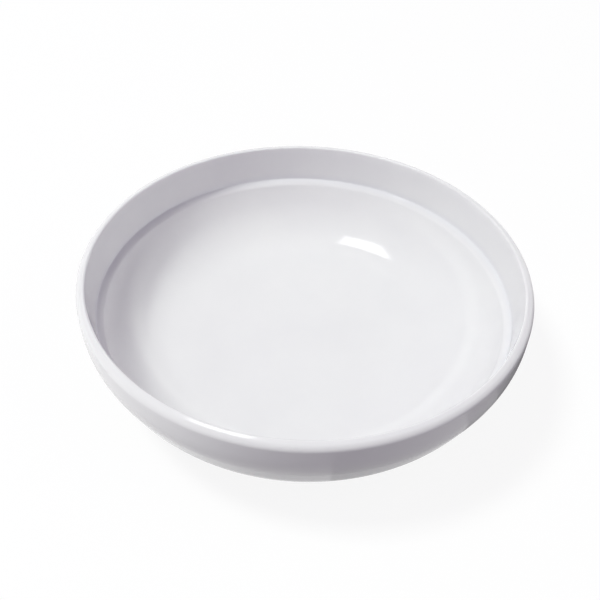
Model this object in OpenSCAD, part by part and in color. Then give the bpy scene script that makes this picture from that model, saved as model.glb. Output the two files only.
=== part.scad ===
// Round open salad bowl, one piece of white glazed ceramic, turned about the Z axis.
// Inside, a narrow step runs round below the rim. Underneath, the bowl stands on a foot ring.
// The origin is the centre of the plane that the foot stands on, and +Z is up. Millimetres.

/* [Rim] */
// Diameter over the rim
rim_d = 250; // [236:1:280]
// Thickness of the rounded lip
lip_t = 5; // [4.2:0.1:6.5]
// Radius over the lip's outer edge
lip_outer_r = 3.8; // [2:0.1:3.8]
// Radius over the lip's inner edge
lip_inner_r = 1.2; // [0.8:0.1:1.2]
// Lean of the inner face under the lip, in degrees from upright
inner_lean = 7.5; // [4:0.5:10]

/* [Side] */
// Height from the table to the top of the lip
bowl_h = 67; // [62:1:80]
// Depth of the shoulder below the top of the lip, where the upright wall turns inwards
shoulder_depth = 18; // [12:0.5:21]
// Radius over the shoulder
shoulder_r = 37; // [20:1:45]
// Diameter at the knee, where the side turns in under the bowl, before rounding
knee_d = 212; // [202:1:222]
// Height of the knee above the table, before rounding
knee_h = 4.5; // [3:0.5:10]
// Radius over the knee
knee_r = 52; // [35:1:54]
// Thickness of the side wall
side_t = 8; // [6.5:0.1:10]

/* [Step] */
// Depth of the step's hollow corner below the top of the lip
step_depth = 22.5; // [19:0.5:26]
// Fall of the step's ledge towards the middle, in degrees from level
ledge_fall = 36; // [20:1:42]
// Radius in the hollow corner of the step
step_hollow_r = 1.5; // [0.5:0.1:2.5]
// Radius over the edge of the step
step_edge_r = 3; // [1:0.1:4]

/* [Floor] */
// Thickness of the floor in the middle
floor_t = 6.5; // [5:0.5:9]
// Diameter of the floor's level middle, before rounding
floor_d = 100; // [60:1:120]
// Rise of the floor outside its level middle, in degrees
floor_rise = 9; // [4:0.5:14]
// Radius where the level middle starts to rise
floor_r = 240; // [60:5:300]
// Radius inside, where the floor curves up to the side
hollow_r = 46; // [25:1:48]

/* [Foot] */
// Outer diameter of the foot ring
foot_d = 140; // [120:1:150]
// Height of the foot ring, from the table to where the side meets it
foot_h = 2.5; // [2:0.1:4]
// Width of the foot ring
foot_w = 8; // [5:0.5:12]
// Depth of the recess inside the foot ring
recess_h = 2.5; // [2:0.1:4]
// Radius of the foot ring's standing edges
foot_edge_r = 1; // [0.5:0.1:1.2]
// Radius in the corners above the foot ring
foot_corner_r = 1; // [0.5:0.1:1.2]

/* [Hidden] */

// Farthest that a chord may lie from the arc it stands for
chord_error = 0.02;
// Steps round a full turn
$fn = 180;

function unit(v) = v / norm(v);
function left(v) = [-v.y, v.x];
function cross2(a, b) = a.x * b.y - a.y * b.x;

// Where the line through p along u crosses the line through q along v
function meet(p, u, q, v) = p + u * cross2(q - p, v) / cross2(u, v);

rim_r = rim_d / 2;
foot_r = foot_d / 2;
floor_z = recess_h + floor_t;

// Corners of the outer face, from the foot up
foot_top = [foot_r, foot_h];
knee = [knee_d / 2, knee_h];
shoulder = [rim_r, bowl_h - shoulder_depth];

// The inner side runs beside the outer one, a wall's thickness away, down to the rising part of the floor
side_way = unit(shoulder - knee);
inner_side = knee + side_t * left(side_way);
floor_edge = [floor_d / 2, floor_z];
hollow = meet(floor_edge, [cos(floor_rise), sin(floor_rise)], inner_side, side_way);

// The step's ledge falls from the foot of the rim's inner face to the inner side
step_hollow = [rim_r - lip_t - step_depth * tan(inner_lean), bowl_h - step_depth];
step_edge = meet(step_hollow, [cos(ledge_fall), sin(ledge_fall)], inner_side, side_way);

// Every corner of the section with its radius, from the middle of the base, over the lip, to the floor
section = [
    [[0, recess_h], 0],
    [[foot_r - foot_w, recess_h], foot_corner_r],
    [[foot_r - foot_w, 0], foot_edge_r],
    [[foot_r, 0], foot_edge_r],
    [foot_top, foot_corner_r],
    [knee, knee_r],
    [shoulder, shoulder_r],
    [[rim_r, bowl_h], lip_outer_r],
    [[rim_r - lip_t, bowl_h], lip_inner_r],
    [step_hollow, step_hollow_r],
    [step_edge, step_edge_r],
    [hollow, hollow_r],
    [floor_edge, floor_r],
    [[0, floor_z], 0]
];

// How far the outline c turns at corner i, in degrees, positive to the left
function turn(c, i) =
    let (u = c[i][0] - c[i - 1][0], v = c[i + 1][0] - c[i][0])
    atan2(cross2(u, v), u * v);

// Length of the edge from corner i to the next one
function edge(c, i) = norm(c[i + 1][0] - c[i][0]);

// How far before corner i its round starts, and the share of its radius that both edges have room for
function setback(c, i) = c[i][1] == 0 ? 0 : c[i][1] * tan(abs(turn(c, i)) / 2);
function room(c, i) = min(
    1,
    edge(c, i - 1) / (setback(c, i - 1) + setback(c, i)),
    edge(c, i) / (setback(c, i) + setback(c, i + 1))
);

// The round at corner i, as points on its arc
function corner_arc(c, i) =
    let (
        r = c[i][1] * room(c, i),
        sweep = turn(c, i),
        way = unit(c[i][0] - c[i - 1][0]),
        start = c[i][0] - way * r * tan(abs(sweep) / 2),
        inwards = left(way) * sign(sweep),
        centre = start + r * inwards,
        first = atan2(-inwards.y, -inwards.x),
        steps = ceil(abs(sweep) / (2 * acos(1 - chord_error / r)))
    )
    [for (k = [0 : steps]) let (a = first + sweep * k / steps) centre + r * [cos(a), sin(a)]];

// The outline c with its corners rounded
function rounded(c) =
    [for (i = [0 : len(c) - 1]) each (c[i][1] == 0 ? [c[i][0]] : corner_arc(c, i))];

module bowl() {
    color("whitesmoke")
        rotate_extrude()
            polygon(rounded(section));
}

bowl();
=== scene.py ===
"""Looks of a round salad bowl in glossy white ceramic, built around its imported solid.

The frame is in metres, +Z up, with the foot ring standing on the floor at the origin. The bowl's own
sizes are in millimetres, as on a drawing of it.
"""

import math

import bpy
from mathutils import Matrix, Vector, noise


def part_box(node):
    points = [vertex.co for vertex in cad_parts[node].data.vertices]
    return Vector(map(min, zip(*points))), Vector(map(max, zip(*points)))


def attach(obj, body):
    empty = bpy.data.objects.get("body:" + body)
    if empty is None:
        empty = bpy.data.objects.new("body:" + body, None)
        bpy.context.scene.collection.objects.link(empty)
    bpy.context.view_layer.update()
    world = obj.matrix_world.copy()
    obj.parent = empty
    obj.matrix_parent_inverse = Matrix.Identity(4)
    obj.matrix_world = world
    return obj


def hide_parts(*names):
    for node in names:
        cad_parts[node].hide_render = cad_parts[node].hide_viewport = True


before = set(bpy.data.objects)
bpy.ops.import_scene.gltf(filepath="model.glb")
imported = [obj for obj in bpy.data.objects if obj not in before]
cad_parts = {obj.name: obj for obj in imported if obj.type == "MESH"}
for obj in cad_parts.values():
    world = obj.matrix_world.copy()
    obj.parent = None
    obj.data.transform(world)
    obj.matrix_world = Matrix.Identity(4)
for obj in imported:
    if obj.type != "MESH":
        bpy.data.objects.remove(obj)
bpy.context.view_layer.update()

MM = 0.001
bowl_low, bowl_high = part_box("bowl")

# The rim's radius and the height, in millimetres like all sizes of the section
RIM_R = bowl_high.x / MM
BOWL_H = bowl_high.z / MM

# The lip. Its top falls outwards over the slope's width, at most 0.13 mm inside the solid's plain round.
LIP_T = 5.0
LIP_INNER_R = 1.2
LIP_SLOPE_W = 3.8
LIP_FALL = math.radians(15.0)
LIP_TOP_R = 0.8
LIP_EDGE_R = 3.5
INNER_LEAN = math.radians(7.5)

# The side
SHOULDER_DEPTH = 18.0
SHOULDER_R = 37.0
KNEE = Vector((106.0, 4.5))
KNEE_R = 52.0
SIDE_T = 8.0

# The step. Its ledge has a crown in the middle, about 0.2 mm proud of the solid's straight ledge.
STEP_DEPTH = 22.5
STEP_HOLLOW_R = 1.5
LEDGE_FALL = math.radians(36.0)
LEDGE_CROWN = 0.22
LEDGE_CROWN_R = 12.0
STEP_EDGE_R = 4.2

# The floor inside
FLOOR_EDGE = Vector((50.0, 9.0))
FLOOR_RISE = math.radians(9.0)
FLOOR_R = 240.0
HOLLOW_R = 46.0

# The foot ring
FOOT_R = 70.0
FOOT_H = 2.5
FOOT_W = 8.0
RECESS_H = 2.5
FOOT_EDGE_R = 1.0
FOOT_CORNER_R = 1.0

# Fineness of the mesh: steps round the bowl, then the longest turn and runs along the section, and the
# length under which a run is left out
TURN_STEPS = 320
ARC_STEP = math.radians(6.0)
LONGEST_RUN = 2.5
LIP_RUN = 0.4
SHORTEST_RUN = 1e-6

# The glaze's slow unevenness, kept off the foot so that the bowl stands flat
WAVE_LENGTH = 55.0
WAVE_HEIGHT = 0.08
WAVE_FREE_H = 8.0

# Height up to which the foot ring is left bare of glaze
BARE_H = 0.5

# How deep the glaze lies, from 0 to 1, and where it pools, or thins with a minus sign: by how much, and
# how far round the corner in millimetres. The pools darken the hollow corners, partly as painted shade,
# and the thin glaze whitens the lip's edges, partly as a painted highlight.
GLAZE_DEPTH = 0.5
POOLS_AND_PAINTED_LIGHT = (
    ("step_hollow", 0.5, 3.0),
    ("foot_top", 0.4, 2.0),
    ("recess_corner", 0.4, 2.0),
    ("lip_edge", -0.4, 2.5),
    ("lip_inside", -0.4, 2.5),
)

# Colours of the glaze at its depths, of the faint cloud over them, and of the bare clay's grain. The
# glaze's thin end is whiter, partly a painted highlight, and its deep end darker, partly painted shade.
GLAZE_AND_PAINTED_LIGHT_COLOURS = ((0, (0.92, 0.92, 0.915)), (GLAZE_DEPTH, (0.88, 0.88, 0.88)), (1, (0.845, 0.85, 0.865)))
CLOUD_COLOURS = ((0.3, (0.975, 0.975, 0.98)), (0.7, (1, 1, 1)))
CLAY_COLOURS = ((0.3, (0.60, 0.575, 0.54)), (0.7, (0.72, 0.70, 0.665)))

# Noise in the materials: cycles a metre, and detail
CLOUD_NOISE = (28, 3)
SHEEN_NOISE = (60, 4)
RIPPLE_NOISE = (220, 2)
GRAIN_NOISE = (1800, 5)

# Surfaces: roughness, and relief as its strength and its depth in metres
GLAZE_ROUGHNESS = (0.05, 0.1)
GLAZE_IOR = 1.5
GLAZE_RELIEF = (0.25, 0.04 * MM)
CLAY_ROUGHNESS = 0.85
CLAY_RELIEF = (0.6, 0.2 * MM)
STAGE_ROUGHNESS = 0.9

# The studio round the bowl: its sizes in metres, and how pale and how bright its floor and wall are
STAGE_R = 12.0
STAGE_STEPS = 96
WALL_H = STAGE_R / 2
FLOOR_BASE = 0.1
FLOOR_GLOW = 0.9
WALL_GLOW = 0.9
TABLE_DROP = 0.2 * MM

# Cards on the table: azimuths of their sides, near radius in metres, and glow
CARDS = (
    ("card_left", 202.5, 247.5, 0.16, 1.35),
    ("card_far", 247.5, 292.5, 0.16, 0.2),
    ("card_right", 292.5, 337.5, 0.16, 0.55),
    ("card_back", 5, 195, 0.13, 0.8),
)
CARD_FAR_R = 1.5
CARD_STEPS = 12
CARD_DROP = 0.1 * MM

# Grey flags on the floor at the right: azimuths of their sides and glow, then radii and lift in metres
FLAGS = (
    ("flag_front", -80, -35, 0.7),
    ("flag_side", -35, -20, 0.34),
    ("flag_right", -20, 8, 0.12),
    ("flag_back", 8, 22, 0.5),
)
FLAG_NEAR_R = 0.075
FLAG_FAR_R = 0.6
FLAG_LIFT = 0.1 * MM

# Softboxes: azimuth, elevation, the azimuth that their height lies along, width and height in metres,
# power in watts, and colour. The strip lights the gloss alone, and the others everything but the gloss.
LIGHT_DISTANCE = 4.0
MATT_LIGHTS = (
    ("key", 184, 63, 90, (0.85, 0.85), 125, (1.0, 1.04, 0.98)),
    ("fill_right", 0, 43, 90, (2.6, 2.6), 24.5, (1.0, 1.1, 0.9)),
    ("fill_back", 90, 25, 0, (2.6, 2.6), 14, (1.05, 0.95, 1.05)),
    ("fill_front_left", 247, 18, 0, (1.8, 1.8), 9.5, (1.05, 1.05, 0.95)),
    ("fill_front_right", 330, 25, 0, (1.8, 1.8), 9.7, (1.1, 0.95, 1.1)),
)
STRIP_LIGHT = ("strip", 152, 74, 71, (0.88, 1.12), 18.6, (1.0, 1.0, 1.0))
ROOM_COLOUR = (0.1, 0.065, 0.145)

# The camera: its height over the rim's level, its distance from the rim's middle in rim radii, its roll,
# its focal length and the middle of the rim in pixels of a square picture, and its sensor in millimetres
CAMERA_ELEVATION = math.radians(40.15)
CAMERA_DISTANCE = 3.5
CAMERA_ROLL = math.radians(2.55)
PICTURE = 600
FOCAL_PX = 789.2
RIM_MIDDLE_PX = (306.1, 264.3)
SENSOR_W = 36.0


def meet(p, u, q, v):
    """Where the line through p along u crosses the line through q along v."""
    return p + u * ((q - p).cross(v) / u.cross(v))


def left_of(way):
    """The direction to the left of a direction in the section's plane."""
    return Vector((-way.y, way.x))


def section_corners():
    """Each corner of the section and its radius, from under the base, over the lip, to the floor."""
    shoulder = Vector((RIM_R, BOWL_H - SHOULDER_DEPTH))
    side_way = (shoulder - KNEE).normalized()
    inner_side = KNEE + SIDE_T * left_of(side_way)
    floor_way = Vector((math.cos(FLOOR_RISE), math.sin(FLOOR_RISE)))
    hollow = meet(FLOOR_EDGE, floor_way, inner_side, side_way)
    step_hollow = Vector((RIM_R - LIP_T - STEP_DEPTH * math.tan(INNER_LEAN), BOWL_H - STEP_DEPTH))
    ledge_way = Vector((math.cos(LEDGE_FALL), math.sin(LEDGE_FALL)))
    step_edge = meet(step_hollow, ledge_way, inner_side, side_way)
    ledge = (step_hollow + step_edge) / 2 + LEDGE_CROWN * left_of(ledge_way)
    return {
        "base_middle": (Vector((0, RECESS_H)), 0),
        "recess_corner": (Vector((FOOT_R - FOOT_W, RECESS_H)), FOOT_CORNER_R),
        "foot_inside": (Vector((FOOT_R - FOOT_W, 0)), FOOT_EDGE_R),
        "foot_outside": (Vector((FOOT_R, 0)), FOOT_EDGE_R),
        "foot_top": (Vector((FOOT_R, FOOT_H)), FOOT_CORNER_R),
        "knee": (KNEE, KNEE_R),
        "shoulder": (shoulder, SHOULDER_R),
        "lip_edge": (Vector((RIM_R, BOWL_H - LIP_SLOPE_W * math.tan(LIP_FALL))), LIP_EDGE_R),
        "lip_top": (Vector((RIM_R - LIP_SLOPE_W, BOWL_H)), LIP_TOP_R),
        "lip_inside": (Vector((RIM_R - LIP_T, BOWL_H)), LIP_INNER_R),
        "step_hollow": (step_hollow, STEP_HOLLOW_R),
        "ledge": (ledge, LEDGE_CROWN_R),
        "step_edge": (step_edge, STEP_EDGE_R),
        "hollow": (hollow, HOLLOW_R),
        "floor_edge": (FLOOR_EDGE, FLOOR_R),
        "floor_middle": (Vector((0, FLOOR_EDGE.y)), 0),
    }


def corner_arc(before, corner, after, radius):
    """Points on the round at a corner, from one edge to the next."""
    way_in = (corner - before).normalized()
    way_out = (after - corner).normalized()
    sweep = math.atan2(way_in.cross(way_out), way_in.dot(way_out))
    start = corner - way_in * radius * math.tan(abs(sweep) / 2)
    inwards = left_of(way_in) * math.copysign(1, sweep)
    centre = start + radius * inwards
    first = math.atan2(-inwards.y, -inwards.x)
    steps = max(2, math.ceil(abs(sweep) / ARC_STEP), math.ceil(radius * abs(sweep) / LONGEST_RUN))
    angles = [first + sweep * k / steps for k in range(steps + 1)]
    return [centre + radius * Vector((math.cos(a), math.sin(a))) for a in angles]


def section_points(corners):
    """The outline with its corners rounded and its runs cut short, shortest on the lip."""
    places = list(corners.values())
    outline = [places[0][0]]
    for before, here, after in zip(places, places[1:], places[2:]):
        outline += corner_arc(before[0], here[0], after[0], here[1])
    outline.append(places[-1][0])
    points = []
    for a, b in zip(outline, outline[1:]):
        length = (b - a).length
        longest = LIP_RUN if a.y > BOWL_H - LIP_SLOPE_W else LONGEST_RUN
        cuts = math.ceil(length / longest)
        if length > SHORTEST_RUN:
            points += [a.lerp(b, k / cuts) for k in range(cuts)]
    return points + [outline[-1]]


def uneven(point, normal):
    """A point of the surface, moved by the glaze's slow unevenness."""
    free = min(1, max(0, point.z / WAVE_FREE_H))
    return point + normal * (WAVE_HEIGHT * free * noise.noise(point / WAVE_LENGTH))


def glaze_depth_and_painted_light(point, corners):
    """How deep the glaze lies at a point of the section: more in a hollow corner, less on an edge. The
    value also darkens the hollow corners as painted shade and lightens the lip as a painted highlight.
    """
    depth = GLAZE_DEPTH
    for name, share, spread in POOLS_AND_PAINTED_LIGHT:
        away = (point - corners[name][0]).length / spread
        depth += share * math.exp(-away * away)
    return depth


def lathe_bowl():
    """The bowl as one closed mesh, turned about Z."""
    corners = section_corners()
    points = section_points(corners)
    up = Vector((0, 0, 1))
    verts = []
    glaze_and_light_levels = []
    for before, here, after in zip(points, points[1:], points[2:]):
        run = (after - before).normalized()
        for k in range(TURN_STEPS):
            a = 2 * math.pi * k / TURN_STEPS
            out = Vector((math.cos(a), math.sin(a), 0))
            verts.append(uneven(out * here.x + up * here.y, out * run.y - up * run.x) * MM)
        # The glaze's depth at each ring, with painted shade in the hollow corners and a painted highlight
        # on the lip
        glaze_and_light_levels += [glaze_depth_and_painted_light(here, corners)] * TURN_STEPS
    base_middle = len(verts)
    floor_middle = base_middle + 1
    last_row = base_middle - TURN_STEPS
    verts += [up * points[0].y * MM, up * points[-1].y * MM]
    glaze_and_light_levels += [GLAZE_DEPTH] * 2
    faces = []
    for k in range(TURN_STEPS):
        n = (k + 1) % TURN_STEPS
        for row in range(0, last_row, TURN_STEPS):
            faces.append((row + k, row + n, row + TURN_STEPS + n, row + TURN_STEPS + k))
        faces.append((n, k, base_middle))
        faces.append((last_row + k, last_row + n, floor_middle))
    mesh = bpy.data.meshes.new("glazed_bowl")
    mesh.from_pydata(verts, [], faces)
    mesh.attributes.new("glaze_depth_and_painted_light", "FLOAT", "POINT").data.foreach_set("value", glaze_and_light_levels)
    mesh.shade_smooth()
    bowl = bpy.data.objects.new("glazed_bowl", mesh)
    bpy.context.scene.collection.objects.link(bowl)
    return bowl


def new_material(name):
    """A node material, with its shader already joined to its output."""
    material = bpy.data.materials.new(name)
    material.use_nodes = True
    return material, material.node_tree.nodes["Principled BSDF"]


def add_noise(tree, scale, detail):
    """Noise fixed to the bowl's own coordinates."""
    place = tree.nodes.new("ShaderNodeTexCoord")
    pattern = tree.nodes.new("ShaderNodeTexNoise")
    pattern.inputs["Scale"].default_value = scale
    pattern.inputs["Detail"].default_value = detail
    tree.links.new(place.outputs["Object"], pattern.inputs["Vector"])
    return pattern.outputs["Fac"]


def add_ramp(tree, factor, stops):
    """A colour for each value of the factor, between the stops."""
    ramp = tree.nodes.new("ShaderNodeValToRGB")
    elements = ramp.color_ramp.elements
    for element, (at, colour) in zip(elements, (stops[0], stops[-1])):
        element.position = at
        element.color = (*colour, 1)
    for at, colour in stops[1:-1]:
        elements.new(at).color = (*colour, 1)
    tree.links.new(factor, ramp.inputs["Fac"])
    return ramp.outputs["Color"]


def add_relief(tree, shader, height, strength, depth):
    """Fine relief on a shader, after a noise."""
    relief = tree.nodes.new("ShaderNodeBump")
    relief.inputs["Strength"].default_value = strength
    relief.inputs["Distance"].default_value = depth
    tree.links.new(height, relief.inputs["Height"])
    tree.links.new(relief.outputs["Normal"], shader.inputs["Normal"])


def white_glaze():
    """Glossy white glaze: a faint cloud in its white, cooler and darker where it pools, partly painted
    shade, and whiter where it thins on the lip, partly a painted highlight.
    """
    material, shader = new_material("white_glaze")
    tree = material.node_tree
    # The glaze's depth, which also carries painted shade in the hollow corners and a painted highlight on
    # the lip
    depth = tree.nodes.new("ShaderNodeAttribute")
    depth.attribute_name = "glaze_depth_and_painted_light"
    tint = tree.nodes.new("ShaderNodeMix")
    tint.data_type = "RGBA"
    tint.blend_type = "MULTIPLY"
    tint.inputs["Factor"].default_value = 1
    tree.links.new(add_ramp(tree, depth.outputs["Fac"], GLAZE_AND_PAINTED_LIGHT_COLOURS), tint.inputs["A"])
    tree.links.new(add_ramp(tree, add_noise(tree, *CLOUD_NOISE), CLOUD_COLOURS), tint.inputs["B"])
    tree.links.new(tint.outputs["Result"], shader.inputs["Base Color"])
    sheen = tree.nodes.new("ShaderNodeMapRange")
    sheen.inputs["To Min"].default_value = GLAZE_ROUGHNESS[0]
    sheen.inputs["To Max"].default_value = GLAZE_ROUGHNESS[1]
    tree.links.new(add_noise(tree, *SHEEN_NOISE), sheen.inputs["Value"])
    tree.links.new(sheen.outputs["Result"], shader.inputs["Roughness"])
    add_relief(tree, shader, add_noise(tree, *RIPPLE_NOISE), *GLAZE_RELIEF)
    shader.inputs["IOR"].default_value = GLAZE_IOR
    return material


def bare_clay():
    """The fired clay of the foot ring, matt and finely grained."""
    material, shader = new_material("bare_clay")
    tree = material.node_tree
    grain = add_noise(tree, *GRAIN_NOISE)
    tree.links.new(add_ramp(tree, grain, CLAY_COLOURS), shader.inputs["Base Color"])
    add_relief(tree, shader, grain, *CLAY_RELIEF)
    shader.inputs["Roughness"].default_value = CLAY_ROUGHNESS
    return material


def dress_bowl(bowl):
    """Glaze all over, apart from the bare standing face of the foot ring."""
    mesh = bowl.data
    mesh.materials.append(white_glaze())
    mesh.materials.append(bare_clay())
    for face in mesh.polygons:
        face.material_index = int(face.center.z < BARE_H * MM)


def direction(azimuth, elevation):
    """The unit vector towards an azimuth, counted from +X to +Y, and an elevation, in degrees."""
    a = math.radians(azimuth)
    e = math.radians(elevation)
    return Vector((math.cos(e) * math.cos(a), math.cos(e) * math.sin(a), math.sin(e)))


def softbox(name, azimuth, elevation, lie, size, energy, colour):
    """An area light aimed at the bowl. From above, its height runs along the azimuth it lies on."""
    light = bpy.data.lights.new(name, "AREA")
    light.shape = "RECTANGLE"
    light.size, light.size_y = size
    light.energy = energy
    light.color = colour
    lamp = bpy.data.objects.new(name, light)
    back = direction(azimuth, elevation)
    across = direction(lie, 0).cross(back).normalized()
    turned = Matrix((across, back.cross(across), back)).transposed()
    place = Vector((0, 0, BOWL_H * MM)) + back * LIGHT_DISTANCE
    lamp.matrix_world = Matrix.Translation(place) @ turned.to_4x4()
    bpy.context.scene.collection.objects.link(lamp)
    return lamp


def light_studio():
    """A key light high on the left, weak fills on the other sides, and a strip for the glaze's gloss."""
    for light in MATT_LIGHTS:
        softbox(*light).visible_glossy = False
    softbox(*STRIP_LIGHT).visible_diffuse = False


def surround():
    """A dim lavender room all round."""
    world = bpy.data.worlds.new("studio")
    world.use_nodes = True
    world.node_tree.nodes["Background"].inputs["Color"].default_value = (*ROOM_COLOUR, 1)
    bpy.context.scene.world = world


def stage_piece(name, verts, faces, base, glow):
    """A plain matt piece of the studio round the bowl. It may shine by itself."""
    mesh = bpy.data.meshes.new(name)
    mesh.from_pydata(verts, [], faces)
    material, shader = new_material(name)
    shader.inputs["Base Color"].default_value = (base, base, base, 1)
    shader.inputs["Roughness"].default_value = STAGE_ROUGHNESS
    shader.inputs["Specular IOR Level"].default_value = 0
    shader.inputs["Emission Color"].default_value = (1, 1, 1, 1)
    shader.inputs["Emission Strength"].default_value = glow
    mesh.materials.append(material)
    piece = bpy.data.objects.new(name, mesh)
    bpy.context.scene.collection.objects.link(piece)
    return piece


def ring_points(radius, start, end, steps):
    """Points on a level ring round the bowl's axis, between two azimuths."""
    return [direction(start + (end - start) * k / steps, 0) * radius for k in range(steps + 1)]


def card_piece(name, start, end, near, far, glow):
    """A flat card of the stage, between two azimuths and two radii."""
    fan = ring_points(far, start, end, CARD_STEPS) + ring_points(near, end, start, CARD_STEPS)
    return stage_piece(name, fan, [tuple(range(len(fan)))], 0, glow)


def build_backdrop(ring, disc):
    """A white floor that shines like a light table, and a white wall far round it, for the camera and the
    gloss alone."""
    floor = stage_piece("floor", ring, disc, FLOOR_BASE, FLOOR_GLOW)
    floor.location.z = bowl_low.z
    tall = [p + Vector((0, 0, WALL_H)) for p in ring]
    sides = []
    for k in range(STAGE_STEPS):
        n = (k + 1) % STAGE_STEPS
        sides.append((k, n, n + STAGE_STEPS, k + STAGE_STEPS))
    wall = stage_piece("wall", ring + tall, sides, 0, WALL_GLOW)
    for piece in (floor, wall):
        piece.visible_diffuse = False
        piece.visible_shadow = False


def build_table(ring, disc):
    """A dark table just under the floor, with glowing cards on it, for the matt light alone."""
    table = stage_piece("table", ring, disc, 0, 0)
    table.location.z = bowl_low.z - TABLE_DROP
    pieces = [table]
    for name, start, end, near, glow in CARDS:
        card = card_piece(name, start, end, near, CARD_FAR_R, glow)
        card.location.z = bowl_low.z - CARD_DROP
        pieces.append(card)
    for piece in pieces:
        piece.visible_camera = False
        piece.visible_glossy = False


def build_flags():
    """Grey flags on the floor, for the gloss alone, where the bowl's right side would mirror the floor."""
    for name, start, end, glow in FLAGS:
        flag = card_piece(name, start, end, FLAG_NEAR_R, FLAG_FAR_R, glow)
        flag.location.z = bowl_low.z + FLAG_LIFT
        flag.visible_camera = False
        flag.visible_diffuse = False
        flag.visible_shadow = False


def build_stage():
    """The floor, the wall, the table with its cards, and the flags."""
    ring = ring_points(STAGE_R, 0, 360, STAGE_STEPS)[:-1]
    disc = [tuple(range(STAGE_STEPS))]
    build_backdrop(ring, disc)
    build_table(ring, disc)
    build_flags()


def aim_camera():
    """A camera that sees the middle of the rim at its place in the picture."""
    data = bpy.data.cameras.new("camera")
    data.sensor_width = SENSOR_W
    data.lens = SENSOR_W * FOCAL_PX / PICTURE
    camera = bpy.data.objects.new("camera", data)
    back = Vector((0, -math.cos(CAMERA_ELEVATION), math.sin(CAMERA_ELEVATION)))
    right = Vector((1, 0, 0))
    level = Matrix((right, back.cross(right), back)).transposed()
    ahead = Vector((RIM_MIDDLE_PX[0] - PICTURE / 2, PICTURE / 2 - RIM_MIDDLE_PX[1], -FOCAL_PX))
    swing = Vector((0, 0, -1)).rotation_difference(ahead).to_matrix()
    turned = level @ Matrix.Rotation(CAMERA_ROLL, 3, "Z") @ swing.transposed()
    place = Vector((0, 0, BOWL_H)) + back * CAMERA_DISTANCE * RIM_R
    camera.matrix_world = Matrix.Translation(place * MM) @ turned.to_4x4()
    bpy.context.scene.collection.objects.link(camera)
    bpy.context.scene.camera = camera


bowl = lathe_bowl()
dress_bowl(bowl)
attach(bowl, "root")
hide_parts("bowl")
build_stage()
light_studio()
surround()
aim_camera()
bpy.context.scene.view_settings.view_transform = "Standard"
